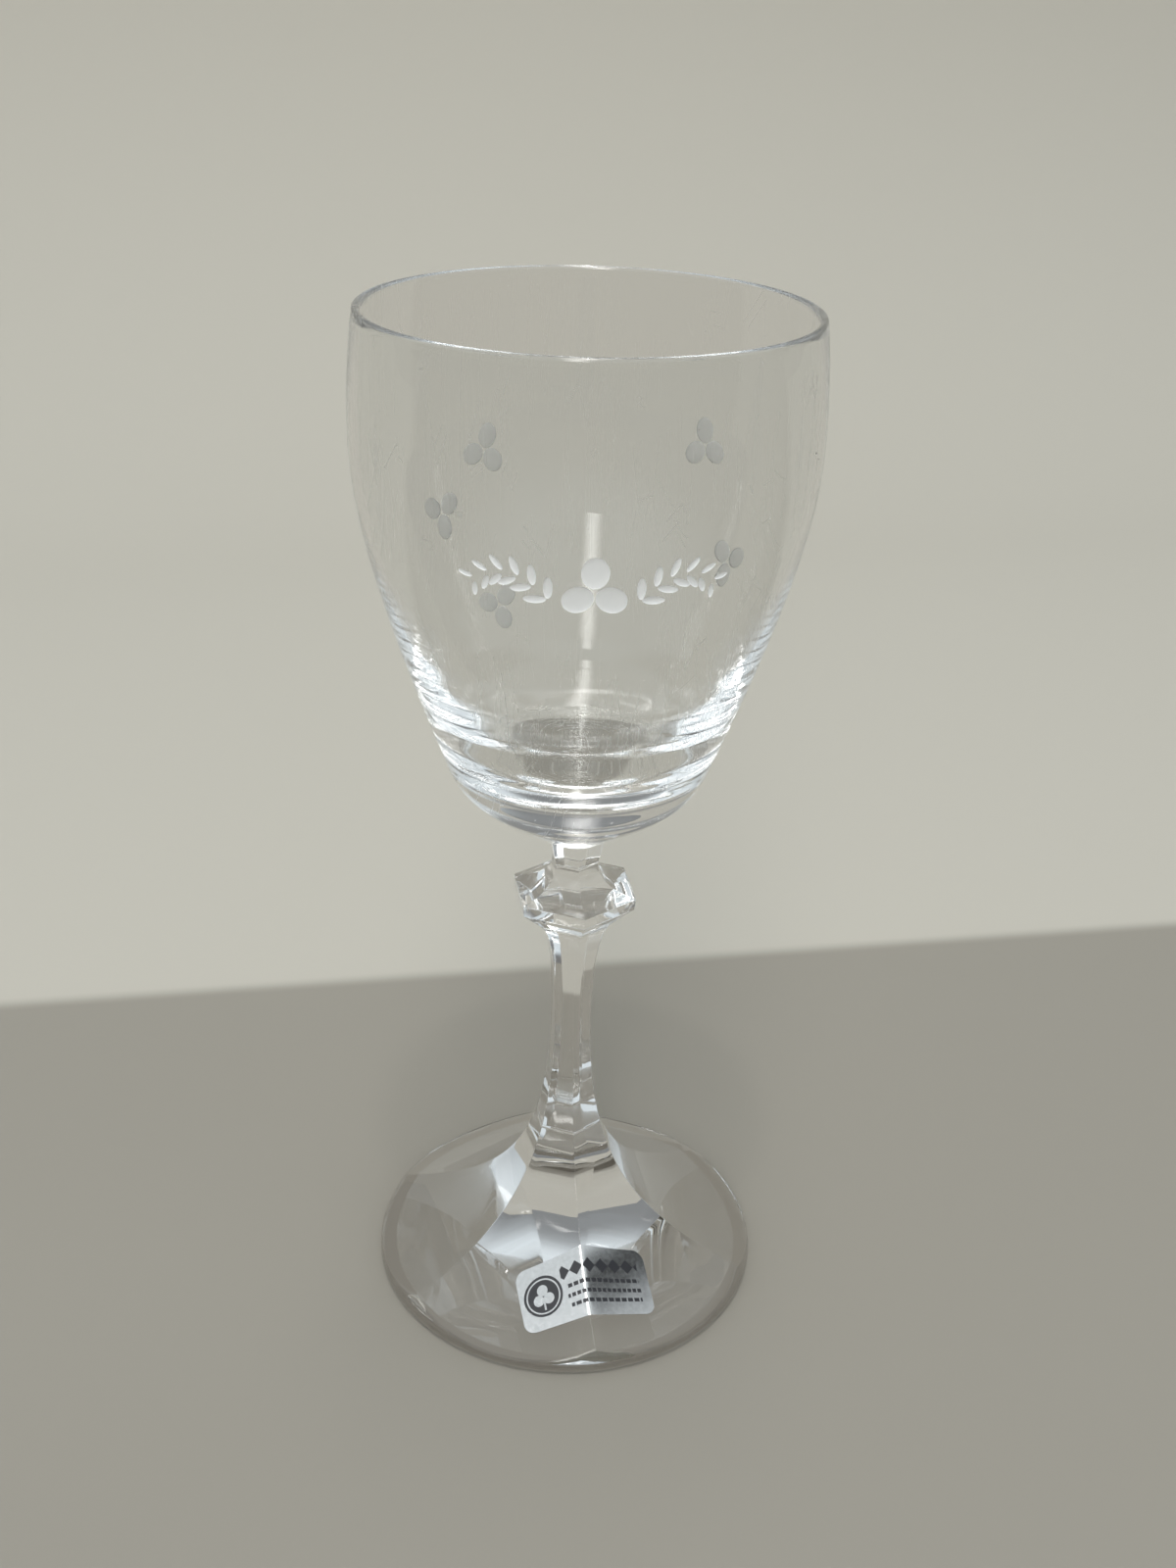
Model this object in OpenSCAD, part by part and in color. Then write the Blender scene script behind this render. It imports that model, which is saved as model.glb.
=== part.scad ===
// Stemmed glass for Irish coffee.
// A thin bowl with a thick base stands on a six-sided neck, knop and stem. The stem runs out
// into a round foot whose top is a six-sided flare. A foil sticker is folded over the ridge
// at the front of the foot, and clover leaves are cut into the back of the bowl.
// Millimetres, +Z up, origin at the centre of the foot's underside, front ridge on -Y.
// A ridge radius is the distance from the axis to a corner of the six-sided section.

/* [Foot] */
// Diameter of the foot
foot_d = 71.2; // [64:0.1:80]
// Height of the foot with its flare, up to the joint with the stem
foot_h = 30; // [24:0.5:40]
// Thickness of the foot's edge at the middle of a facet
foot_edge_h = 2.3; // [1.6:0.1:3.5]
// Slope of the facets where they reach the edge, in degrees
foot_slope = 17.3; // [10:0.1:22]
// Length of the flare's curve handle at the edge
foot_edge_pull = 19.4; // [14:0.1:22]
// Length of the flare's curve handle at the stem
foot_stem_pull = 17.9; // [10:0.1:20]
// Radius of the foot's rounded side
foot_side_r = 5; // [4:0.1:7]
// Radius of the lower corner of the edge
foot_lip_r = 1.2; // [0.6:0.1:1.8]
// Width of the flat ring that the foot rests on
foot_ring_w = 2.4; // [1.2:0.1:6]
// Rise of the hollow underside at the axis
foot_dome_h = 1; // [0.4:0.1:1.5]

/* [Stem] */
// Length of the stem between the foot and the knop
stem_h = 43.2; // [30:0.1:70]
// Ridge radius where the stem meets the foot
stem_foot_r = 6.35; // [5.5:0.05:8]
// Lean of the ridges where the stem meets the foot, in degrees
stem_lean = 15.4; // [8:0.1:22]
// Height of the waist above the foot
waist_h = 24.1; // [18:0.1:28]
// Ridge radius at the waist
waist_r = 3.8; // [3:0.05:5]
// Ridge radius at the top, under the knop
stem_top_r = 7.2; // [6:0.1:9]
// Length of the lower curve's handle at the foot
stem_foot_pull = 6.4; // [4:0.1:10]
// Length of the lower curve's handle at the waist
waist_low_pull = 10.1; // [6:0.1:14]
// Length of the upper curve's handle at the waist
waist_high_pull = 6; // [4:0.1:10]
// Length of the upper curve's handle under the knop
stem_top_pull = 3.6; // [2:0.1:6]
// Lean of the ridges under the knop, in degrees
stem_top_lean = 50; // [30:1:60]

/* [Knop] */
// Height of the knop
knop_h = 11.4; // [9.5:0.1:16]
// Ridge radius at the knop's widest corners
knop_r = 11.4; // [9.5:0.1:14]
// Height of the slanted underside
knop_under_h = 3.6; // [2.5:0.1:5]
// Height of the band of small upright faces
knop_band_h = 2.1; // [1:0.1:3]
// Inset of the band's lower edge
knop_band_in = 0.25; // [0:0.05:0.8]
// Length of the hollow top's curve handle at the corners
knop_corner_pull = 4.2; // [2:0.1:6]
// Length of the hollow top's curve handle at the neck
knop_neck_pull = 3.4; // [1.5:0.1:4]
// Rise of the hollow top where it leaves the corners, in degrees
knop_rise = 8; // [2:1:25]

/* [Neck] */
// Height of the neck between the knop and the bowl
neck_h = 4.7; // [2.5:0.1:8]
// Ridge radius at the neck's crease
neck_r = 4.25; // [3.5:0.05:5]
// Ridge radius at the top of the neck
neck_top_r = 5.3; // [4.8:0.05:6.5]

/* [Bowl] */
// Height of the bowl from its joint with the neck to the rim
bowl_h = 88.7; // [80:0.1:110]
// Outer diameter at the rim
rim_d = 70.4; // [66:0.1:76]
// Outer diameter at the belly, the widest place
belly_d = 72.8; // [70:0.1:80]
// Depth of the belly below the rim
belly_drop = 18.4; // [12:0.1:26]
// Slope of the underside where it leaves the neck, in degrees
base_slope = 35; // [28:0.5:42]
// Length of the underside's curve handle at the neck
base_pull = 14.4; // [10:0.1:17]
// Height of the shoulder, where the underside runs into the wall, above the joint
shoulder_h = 15.2; // [13:0.1:18]
// Radius of the bowl at the shoulder
shoulder_r = 22.2; // [20:0.1:24]
// Slope of the wall at the shoulder, in degrees
shoulder_slope = 69.6; // [62:0.1:76]
// Length of the underside's curve handle at the shoulder
shoulder_low_pull = 6.9; // [4:0.1:9]
// Length of the wall's curve handle at the shoulder
shoulder_pull = 30; // [20:0.5:34]
// Length of the wall's curve handle at the belly
belly_pull = 12.2; // [8:0.1:20]
// Thickness of the rim
rim_t = 1.2; // [0.9:0.1:2]
// Thickness of the wall at the belly
wall_t = 1.4; // [1:0.1:2.2]
// Thickness of the wall where the cavity turns in to its floor
side_t = 3.5; // [2.2:0.1:5]
// Depth of solid glass from the joint to the floor of the bowl
floor_t = 13.7; // [11:0.1:15]
// Radius of the flat middle of the bowl's floor
floor_r = 9; // [6:0.1:10]
// Length of the cavity's curve handle at the floor
floor_pull = 9; // [6:0.1:11]
// Length of the cavity's curve handle where the wall turns in
side_pull = 6; // [3:0.1:8]

/* [Clover leaves] */
// Radius of one leaf
leaf_r = 1.9; // [1.2:0.1:2.4]
// Depth of a leaf's cut
leaf_depth = 0.15; // [0.08:0.01:0.3]
// Distance from the middle of a clover to the middle of a leaf
leaf_reach = 2.3; // [1.6:0.1:3]

/* [Foil label] */
// Length of the label, across the front ridge
label_l = 24; // [16:0.5:26]
// Width of the label, along the ridge
label_w = 11.2; // [8:0.1:13]
// Radius of the label's corners
label_corner_r = 1.9; // [1:0.1:3]
// Distance of the label's middle from the edge of the foot
label_in = 13; // [11.6:0.1:15.6]
// Turn of the label against the ridge, in degrees
label_turn = 4; // [-6:0.5:6]
// Thickness of the foil
foil_t = 0.12; // [0.08:0.01:0.3]
// Thickness of the adhesive under the foil
adhesive_t = 0.06; // [0.04:0.01:0.2]

/* [Hidden] */

sides = 6;            // facets of the pressed parts
corner = 180 / sides; // half of the angle between two ridges
leaves = 3;           // leaves of one clover
overrun = 1;          // how far a cutting form runs past the form that it trims
wall_steps = 24;      // straight steps along a long curve
base_steps = 16;      // straight steps along the bowl's underside
short_steps = 8;      // straight steps along a short curve
round_fn = 96;        // steps round the axis

foot_r = foot_d / 2;
belly_r = belly_d / 2;
rim_r = rim_d / 2;
label_out = foot_r - label_in;

stem_z = foot_h;
knop_z = stem_z + stem_h;
neck_z = knop_z + knop_h;
bowl_z = neck_z + neck_h;
rim_z = bowl_z + bowl_h;
belly_z = rim_z - belly_drop;
floor_z = bowl_z + floor_t;

// Share of the wall's curve, from the shoulder, at which the cavity turns in to its floor
side_share = 0.125;
// Share of the curve over which the extra thickness of the wall there falls by half
side_half_share = 0.095;

// Clovers: turn round the axis from the front ridge and turn of the leaves, both in degrees,
// and height as a share of the bowl's height
clover_places_share = [
    [-159, 110, 0.655],
    [-141, 150, 0.555],
    [134, 80, 0.68],
    [116, 150, 0.485],
    [-157, 20, 0.36],
];

// Points of a smooth curve from a to d, pulled towards b at its start and c at its end
function curve(a, b, c, d, steps) = [
    for (i = [0:steps])
        let (t = i / steps, s = 1 - t)
        s * s * s * a + 3 * s * s * t * b + 3 * s * t * t * c + t * t * t * d
];

// Points of an arc round c, from one angle to another
function arc(c, r, from, to, steps) = [
    for (i = [0:steps])
        let (a = from + (to - from) * i / steps)
        c + r * [cos(a), sin(a)]
];

function along(angle, length) = length * [cos(angle), sin(angle)];

// A list without its first point, to join two curves that share it
function tail(points) = [for (i = [1:len(points) - 1]) points[i]];

function backwards(points) = [for (i = [len(points) - 1:-1:0]) points[i]];

function raised(points, h) = [for (p = points) p + [0, h]];

// Ridge line of the flare, from the stem down to a little past the foot's edge
foot_corner_r = foot_r / cos(corner);
flare_ridge = curve(
    [stem_foot_r, stem_z],
    [stem_foot_r, stem_z] + along(stem_lean - 90, foot_stem_pull),
    [foot_corner_r, foot_edge_h] - along(-foot_slope, foot_edge_pull),
    [foot_corner_r, foot_edge_h],
    wall_steps
);
flare_end = [foot_corner_r, foot_edge_h] + along(-foot_slope, overrun);

// Ridge line of the stem, from the foot up
stem_ridge = concat(
    curve(
        [stem_foot_r, stem_z],
        [stem_foot_r, stem_z] - along(stem_lean - 90, stem_foot_pull),
        [waist_r, stem_z + waist_h - waist_low_pull],
        [waist_r, stem_z + waist_h],
        wall_steps / 2
    ),
    tail(curve(
        [waist_r, stem_z + waist_h],
        [waist_r, stem_z + waist_h + waist_high_pull],
        [stem_top_r, knop_z] - along(90 - stem_top_lean, stem_top_pull),
        [stem_top_r, knop_z],
        wall_steps / 2
    ))
);

// Ridge line of the knop: slanted underside, band, hollow top
knop_band_z = knop_z + knop_under_h;
knop_corner_z = knop_band_z + knop_band_h;
knop_ridge = concat(
    [[stem_top_r, knop_z], [knop_r - knop_band_in, knop_band_z]],
    curve(
        [knop_r, knop_corner_z],
        [knop_r, knop_corner_z] + along(180 - knop_rise, knop_corner_pull),
        [neck_r, neck_z - knop_neck_pull],
        [neck_r, neck_z],
        short_steps
    )
);

// Ridge line of the neck, opening towards the bowl
neck_ridge = curve(
    [neck_r, neck_z],
    [neck_r, neck_z] + [neck_top_r - neck_r, neck_h] / 3,
    [neck_top_r, bowl_z] - [neck_top_r - neck_r, neck_h] / 3,
    [neck_top_r, bowl_z],
    short_steps / 2
);

// Outline of the bowl's outside, from its joint with the neck up to the rim
shoulder = [shoulder_r, bowl_z + shoulder_h];
lip_z = rim_z - rim_t / 2;
wall_line = curve(
    shoulder,
    shoulder + along(shoulder_slope, shoulder_pull),
    [belly_r, belly_z - belly_pull],
    [belly_r, belly_z],
    wall_steps
);
bowl_outside = concat(
    curve(
        [neck_top_r, bowl_z],
        [neck_top_r, bowl_z] + along(base_slope, base_pull),
        shoulder - along(shoulder_slope, shoulder_low_pull),
        shoulder,
        base_steps
    ),
    tail(wall_line),
    [for (i = [1:short_steps])
        let (t = i / short_steps)
        [belly_r - (belly_r - rim_r) * t * t, belly_z + (lip_z - belly_z) * t]]
);

// Direction of the wall's outside at one of its steps
function wall_way(i) =
    let (way = wall_line[min(i + 1, wall_steps)] - wall_line[i - 1]) way / norm(way);

// Thickness of the wall at one of its steps: even above, and thicker towards the base
function wall_depth(i) =
    wall_t + (side_t - wall_t) * pow(1 / 2, (i / wall_steps - side_share) / side_half_share);

// Inside of the wall, from the belly down to where the cavity turns in
side_step = round(side_share * wall_steps);
cavity_wall = [
    for (i = [wall_steps:-1:side_step])
        let (way = wall_way(i))
        wall_line[i] + wall_depth(i) * [-way[1], way[0]]
];
cavity_side = cavity_wall[len(cavity_wall) - 1];

// Outline of the cavity, from the rim down to the middle of the floor
cavity_rim_r = rim_r - rim_t;
cavity_belly_r = belly_r - wall_t;
bowl_cavity = concat(
    [for (i = [0:short_steps - 1])
        let (t = 1 - i / short_steps)
        [cavity_belly_r - (cavity_belly_r - cavity_rim_r) * t * t, belly_z + (lip_z - belly_z) * t]],
    cavity_wall,
    tail(curve(
        cavity_side,
        cavity_side - side_pull * wall_way(side_step),
        [floor_r + floor_pull, floor_z],
        [floor_r, floor_z],
        base_steps
    )),
    [[0, floor_z]]
);

// Outer radius of the bowl at a height, and the lean of its wall there
wall_table = [for (p = bowl_outside) [p[1], p[0]]];
function wall_r(z) = lookup(z, wall_table);
function wall_lean(z) = atan((wall_r(z + overrun) - wall_r(z - overrun)) / (2 * overrun));

// Solid with a six-sided section whose corners follow a ridge line
module six_sided(ridge) {
    side = [for (p = ridge) [p[0] * cos(corner), p[1]]];
    other_side = [for (p = backwards(side)) [-p[0], p[1]]];
    span = max([for (p = ridge) p[0]]);
    intersection_for (k = [0:sides / 2 - 1])
        rotate([90, 0, k * 2 * corner])
            linear_extrude(height = 2 * (span + overrun), center = true)
                polygon(concat(side, other_side));
}

module round_foot_form() {
    ring_r = foot_r - foot_lip_r;
    dome_r = ring_r - foot_ring_w;
    dome_curve_r = (dome_r * dome_r + foot_dome_h * foot_dome_h) / (2 * foot_dome_h);
    dome_angle = asin(dome_r / dome_curve_r);
    top_r = foot_r - foot_side_r;
    rotate_extrude($fn = round_fn)
        polygon(concat(
            arc([0, foot_dome_h - dome_curve_r], dome_curve_r, 90, 90 - dome_angle, short_steps),
            arc([ring_r, foot_lip_r], foot_lip_r, -90, 0, short_steps),
            tail(arc([top_r, foot_lip_r], foot_side_r, 0, 90, short_steps)),
            [[top_r, foot_h + overrun], [0, foot_h + overrun]]
        ));
}

// Lens-shaped cut of one leaf, sunk square to the wall
module leaf_cut(turn, z) {
    ball_r = (leaf_r * leaf_r + leaf_depth * leaf_depth) / (2 * leaf_depth);
    rotate(turn - 90)
        translate([wall_r(z), 0, z])
            rotate([0, wall_lean(z), 0])
                translate([ball_r - leaf_depth, 0, 0])
                    sphere(ball_r, $fn = round_fn);
}

module clover_cuts() {
    for (place = clover_places_share, k = [0:leaves - 1]) {
        z = bowl_z + place[2] * bowl_h;
        angle = place[1] + k * 360 / leaves;
        across = leaf_reach * cos(angle) / wall_r(z) * 180 / PI;
        leaf_cut(place[0] + across, z + leaf_reach * sin(angle));
    }
}

// Outline of the label in plan, laid over the front ridge
module label_plan() {
    half = [label_l / 2 - label_corner_r, label_w / 2 - label_corner_r];
    translate([0, -label_out])
        rotate(label_turn)
            polygon([
                for (c = [[1, 1, 0], [-1, 1, 90], [-1, -1, 180], [1, -1, 270]])
                    each arc([c[0] * half[0], c[1] * half[1]], label_corner_r, c[2], c[2] + 90, short_steps)
            ]);
}

// Layer that lies on the flare between two heights above it, inside the label's outline
module label_layer(low, high) {
    reach = [for (p = flare_ridge)
        if (p[0] > label_out - label_w && p[0] < label_out + label_w) p];
    floor_edge = [[reach[len(reach) - 1][0], 0], [reach[0][0], 0]];
    intersection() {
        difference() {
            six_sided(concat([floor_edge[0]], raised(backwards(reach), high)));
            six_sided(concat([floor_edge[0] - [0, overrun]], raised(backwards(reach), low)));
        }
        linear_extrude(height = foot_h) label_plan();
    }
}

module bowl() {
    color("lightcyan", 0.45)
        difference() {
            rotate_extrude($fn = round_fn)
                polygon(concat(
                    [[0, bowl_z]],
                    bowl_outside,
                    tail(arc([rim_r - rim_t / 2, lip_z], rim_t / 2, 0, 180, short_steps)),
                    tail(bowl_cavity)
                ));
            clover_cuts();
        }
}

module neck() {
    color("aliceblue", 0.6) six_sided(neck_ridge);
}

module knop() {
    color("lightblue", 0.6) six_sided(knop_ridge);
}

module stem() {
    color("aliceblue", 0.6) six_sided(stem_ridge);
}

module foot() {
    color("lightcyan", 0.6)
        intersection() {
            six_sided(concat([[flare_end[0], 0], flare_end], backwards(flare_ridge)));
            round_foot_form();
        }
}

module foil_label() {
    color("silver") label_layer(adhesive_t, adhesive_t + foil_t);
}

module label_adhesive() {
    color("ivory") label_layer(0, adhesive_t);
}

bowl();
neck();
knop();
stem();
foot();
foil_label();
label_adhesive();
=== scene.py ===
# Irish coffee glass: clear crystal, frosted leaf decoration and a foil label
import math

import bmesh
import bpy
from mathutils import Matrix, Vector
from mathutils.geometry import interpolate_bezier


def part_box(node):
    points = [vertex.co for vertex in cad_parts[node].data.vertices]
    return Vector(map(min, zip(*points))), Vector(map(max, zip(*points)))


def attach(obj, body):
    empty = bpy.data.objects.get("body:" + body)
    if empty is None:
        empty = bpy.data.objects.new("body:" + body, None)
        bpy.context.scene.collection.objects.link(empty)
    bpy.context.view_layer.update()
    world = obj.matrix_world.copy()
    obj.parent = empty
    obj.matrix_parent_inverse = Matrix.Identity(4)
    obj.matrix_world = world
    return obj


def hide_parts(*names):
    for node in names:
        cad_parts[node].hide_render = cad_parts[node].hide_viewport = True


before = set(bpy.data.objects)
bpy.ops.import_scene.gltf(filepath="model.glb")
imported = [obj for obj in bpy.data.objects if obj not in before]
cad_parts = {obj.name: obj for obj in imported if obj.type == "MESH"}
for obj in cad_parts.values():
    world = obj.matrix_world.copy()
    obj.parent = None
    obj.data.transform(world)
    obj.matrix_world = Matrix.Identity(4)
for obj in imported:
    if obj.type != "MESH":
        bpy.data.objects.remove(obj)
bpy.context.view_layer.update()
mm = 0.001
print("frame loaded, nodes:", ", ".join(sorted(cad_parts)))

# Lengths in the dictionaries are in mm and angles in degrees, unless a comment says otherwise

bowlLow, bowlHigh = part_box("bowl")
neckLow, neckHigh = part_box("neck")
knopLow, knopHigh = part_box("knop")
stemLow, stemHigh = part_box("stem")
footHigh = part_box("foot")[1]

# Camera, solved from the outlines of the rim and the foot, in the photograph's 1200 by 1600 frame
cameraShape = {
    "focalPixels": 1715.2,
    "longSidePixels": 1600,
    "sensorWidth": 36.0,    # along the long side
    "distance": 254.0,      # from the axis, measured along the table
    "height": 225.9,        # above the table
    "azimuth": -10.0,       # round the glass from the front ridge
    "pitch": 26.56,
    "yaw": 0.41,
    "roll": 1.75,
    "clipStart": 10.0,
}


def makeCamera(shape):
    data = bpy.data.cameras.new("camera")
    data.sensor_width = shape["sensorWidth"]
    data.lens = shape["focalPixels"] / shape["longSidePixels"] * shape["sensorWidth"]
    data.clip_start = shape["clipStart"] * mm
    camera = bpy.data.objects.new("camera", data)
    bpy.context.scene.collection.objects.link(camera)
    place = Matrix.Translation((0, -shape["distance"] * mm, shape["height"] * mm))
    turns = [
        (shape["azimuth"], "Z"), (-shape["yaw"], "Z"),
        (90 - shape["pitch"], "X"), (shape["roll"], "Z"),
    ]
    orbit, pan, tilt, roll = [
        Matrix.Rotation(math.radians(angle), 4, axis) for angle, axis in turns]
    camera.matrix_world = orbit @ place @ pan @ tilt @ roll
    bpy.context.scene.camera = camera


makeCamera(cameraShape)


def toward(degrees, length):
    angle = math.radians(degrees)
    return Vector((math.cos(angle), math.sin(angle))) * length


# Materials
def newMaterial(name):
    material = bpy.data.materials.new(name)
    material.use_nodes = True
    nodes = material.node_tree.nodes
    return material, nodes, material.node_tree.links, nodes["Principled BSDF"]


def addNode(nodes, kind, **settings):
    node = nodes.new(kind)
    for key, value in settings.items():
        if key in node.inputs:
            node.inputs[key].default_value = value
        else:
            setattr(node, key, value)
    return node


def linked(nodes, links, kind, sockets, **settings):
    # adds a node and joins the given outputs to its inputs, by number or name
    node = addNode(nodes, kind, **settings)
    for key, value in sockets.items():
        if isinstance(value, bpy.types.NodeSocket):
            links.new(value, node.inputs[key])
        else:
            node.inputs[key].default_value = value
    return node


def calc(nodes, links, operation, *values):
    sockets = dict(enumerate(values))
    return linked(nodes, links, "ShaderNodeMath", sockets, operation=operation).outputs[0]


wearLook = {
    "scratchScale": 55.0,      # this scale and those below are per metre
    "scratchTurn": (0.5, 0.9, 0.3),    # radians
    "scratchStretch": (8.0, 1.0, 0.6),
    "scratchWidth": 0.004,     # share of a cell
    "patchScale": 60.0,
    "patchLevel": 0.52,        # the scratches gather where the noise is above this
    "speckScale": 420.0,
    "speckSize": 0.055,        # share of a cell
}


def wearGroup(look):
    # fine scratches and specks of dust
    group = bpy.data.node_groups.new("glassWear", "ShaderNodeTree")
    face = group.interface
    face.new_socket("Place", in_out="INPUT", socket_type="NodeSocketVector")
    for name in ("Scratches", "Specks"):
        face.new_socket(name, in_out="INPUT", socket_type="NodeSocketFloat").default_value = 1.0
    face.new_socket("Marks", in_out="OUTPUT", socket_type="NodeSocketFloat")
    nodes, links = group.nodes, group.links
    given = nodes.new("NodeGroupInput")
    result = nodes.new("NodeGroupOutput")
    place = given.outputs["Place"]
    turned = linked(nodes, links, "ShaderNodeMapping", {
        "Vector": place, "Rotation": look["scratchTurn"], "Scale": look["scratchStretch"],
    }).outputs[0]
    cells = linked(nodes, links, "ShaderNodeTexVoronoi", {
        "Vector": turned, "Scale": look["scratchScale"]}, feature="DISTANCE_TO_EDGE").outputs[0]
    lines = calc(nodes, links, "LESS_THAN", cells, look["scratchWidth"])
    patches = linked(nodes, links, "ShaderNodeTexNoise", {
        "Vector": place, "Scale": look["patchScale"], "Detail": 1.0}).outputs[0]
    gathered = calc(nodes, links, "GREATER_THAN", patches, look["patchLevel"])
    scratches = calc(nodes, links, "MULTIPLY", lines, gathered)
    scratches = calc(nodes, links, "MULTIPLY", scratches, given.outputs["Scratches"])
    dots = linked(nodes, links, "ShaderNodeTexVoronoi", {
        "Vector": place, "Scale": look["speckScale"]}).outputs[0]
    specks = calc(nodes, links, "LESS_THAN", dots, look["speckSize"])
    specks = calc(nodes, links, "MULTIPLY", specks, given.outputs["Specks"])
    links.new(calc(nodes, links, "MAXIMUM", scratches, specks), result.inputs["Marks"])
    return group


glassWear = wearGroup(wearLook)

glassLook = {
    "ior": 1.52,
    "tint": (0.975, 0.987, 0.985, 1),
    "bowl": {"scratches": 0.6, "specks": 0.5, "marked": 0.5, "spoons": True},
    "stem": {"scratches": 0.25, "specks": 0.3, "marked": 0.4, "spoons": False},
}

spoonLook = {
    "height": 105.5,       # above the table: only the cavity's floor lies between this
    "base": 102.0,         # and this
    "radius": 15.0,
    "spacing": 0.9,
    "wander": 2.6,
    "wanderScale": 240.0,  # per metre
    "width": 0.14,         # share of the spacing
    "gapScale": 330.0,     # per metre
    "gap": 0.45,           # the arcs break off where the noise is below this
    "marked": 0.5,         # roughness of the marks
}


def spoonMarks(nodes, links, place, look):
    # broken arcs that spoons have scratched round the floor of the cavity
    parts = linked(nodes, links, "ShaderNodeSeparateXYZ", {0: place}).outputs
    flat = linked(nodes, links, "ShaderNodeCombineXYZ", {"X": parts["X"], "Y": parts["Y"]})
    reach = linked(nodes, links, "ShaderNodeVectorMath", {
        0: flat.outputs[0]}, operation="LENGTH").outputs["Value"]
    wander, gaps = [linked(nodes, links, "ShaderNodeTexNoise", {
        "Vector": place, "Scale": look[scale], "Detail": 0.0,
    }).outputs[0] for scale in ("wanderScale", "gapScale")]
    way = calc(nodes, links, "MULTIPLY_ADD", wander, look["wander"] * mm, reach)
    line = calc(nodes, links, "PINGPONG", way, look["spacing"] * mm)
    line = calc(nodes, links, "LESS_THAN", line, look["width"] * look["spacing"] * mm)
    masks = [
        calc(nodes, links, "GREATER_THAN", gaps, look["gap"]),
        calc(nodes, links, "LESS_THAN", reach, look["radius"] * mm),
        calc(nodes, links, "LESS_THAN", parts["Z"], look["height"] * mm),
        calc(nodes, links, "GREATER_THAN", parts["Z"], look["base"] * mm),
    ]
    for mask in masks:
        line = calc(nodes, links, "MULTIPLY", line, mask)
    return calc(nodes, links, "MULTIPLY", line, look["marked"])


def clearGlass(name, look):
    material, nodes, links, shader = newMaterial(name)
    shader.inputs["IOR"].default_value = glassLook["ior"]
    shader.inputs["Transmission Weight"].default_value = 1
    shader.inputs["Base Color"].default_value = glassLook["tint"]
    place = nodes.new("ShaderNodeTexCoord").outputs["Object"]
    wear = linked(nodes, links, "ShaderNodeGroup", {}, node_tree=glassWear)
    links.new(place, wear.inputs["Place"])
    wear.inputs["Scratches"].default_value = look["scratches"]
    wear.inputs["Specks"].default_value = look["specks"]
    rough = calc(nodes, links, "MULTIPLY", wear.outputs["Marks"], look["marked"])
    if look["spoons"]:
        rough = calc(nodes, links, "MAXIMUM", rough, spoonMarks(nodes, links, place, spoonLook))
    links.new(rough, shader.inputs["Roughness"])
    return material


frostLook = {
    "tint": (0.95, 0.96, 0.955, 1),
    "paleTint": (0.985, 0.99, 0.985, 1),
    "grainScale": 900.0,    # per metre
    "grainDetail": 3.0,
    "roughness": (0.42, 0.6),
    "bump": 0.25,
    "bumpDistance": 0.05,
    "front": 0.05,      # how clear the cuts are: the front is cut deeper than the back
    "back": 0.6,
}


def frostedGlass(name, look, clearness):
    material, nodes, links, shader = newMaterial(name)
    shader.inputs["IOR"].default_value = glassLook["ior"]
    shader.inputs["Transmission Weight"].default_value = clearness
    place = nodes.new("ShaderNodeTexCoord").outputs["Object"]
    grain = linked(nodes, links, "ShaderNodeTexNoise", {
        "Vector": place, "Scale": look["grainScale"], "Detail": look["grainDetail"]}).outputs[0]
    tint = linked(nodes, links, "ShaderNodeMix", {
        0: grain, 6: look["tint"], 7: look["paleTint"]}, data_type="RGBA")
    links.new(tint.outputs[2], shader.inputs["Base Color"])
    rough = linked(nodes, links, "ShaderNodeMapRange", {
        "Value": grain, "To Min": look["roughness"][0], "To Max": look["roughness"][1]})
    links.new(rough.outputs[0], shader.inputs["Roughness"])
    bump = linked(nodes, links, "ShaderNodeBump", {
        "Height": grain, "Strength": look["bump"], "Distance": look["bumpDistance"] * mm})
    links.new(bump.outputs[0], shader.inputs["Normal"])
    return material


def fusedJoint():
    # where two pieces of glass are melted together there is no surface to see
    material, nodes, links, shader = newMaterial("fusedJoint")
    nodes.remove(shader)
    through = nodes.new("ShaderNodeBsdfTransparent")
    links.new(through.outputs[0], nodes["Material Output"].inputs["Surface"])
    return material


# Foil label, and the plain print on it. Places on the label are measured from its middle
labelShape = {
    "length": 24.0,
    "width": 11.2,
    "cornerRadius": 1.9,
    "fromEdge": 13.0,       # from the edge of the foot to the middle of the label
    "turn": 4.0,
    "foilThickness": 0.12,
    "glueThickness": 0.06,
    "glueInset": 0.25,
    "foldSoftness": 0.3,
    "sharpAngle": 40.0,
    "stepsAlong": 96,
    "stepsAcross": 44,
}

printLook = {
    "ink": (0.02, 0.02, 0.024, 1),
    "inkRoughness": 0.4,
    "badge": {"place": (-7.7, 0.1), "radius": 3.5, "edge": 3.05, "line": 2.8},
    "leafRadius": 0.95,
    "leafReach": 1.05,
    "leafTurns": (90, 210, 330),
    "stalk": {"place": (-7.7, -1.4), "size": (0.16, 0.9)},
    "rules": [
        {"place": (3.1, 2.7), "size": (7.2, 1.15), "period": 1.2, "share": 0},
        {"place": (3.5, 0.3), "size": (6.6, 0.33), "period": 0.55, "share": 0.13},
        {"place": (3.5, -1.35), "size": (6.9, 0.33), "period": 0.47, "share": 0.13},
        {"place": (3.5, -3.0), "size": (6.6, 0.33), "period": 0.6, "share": 0.13},
    ],
}


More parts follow.
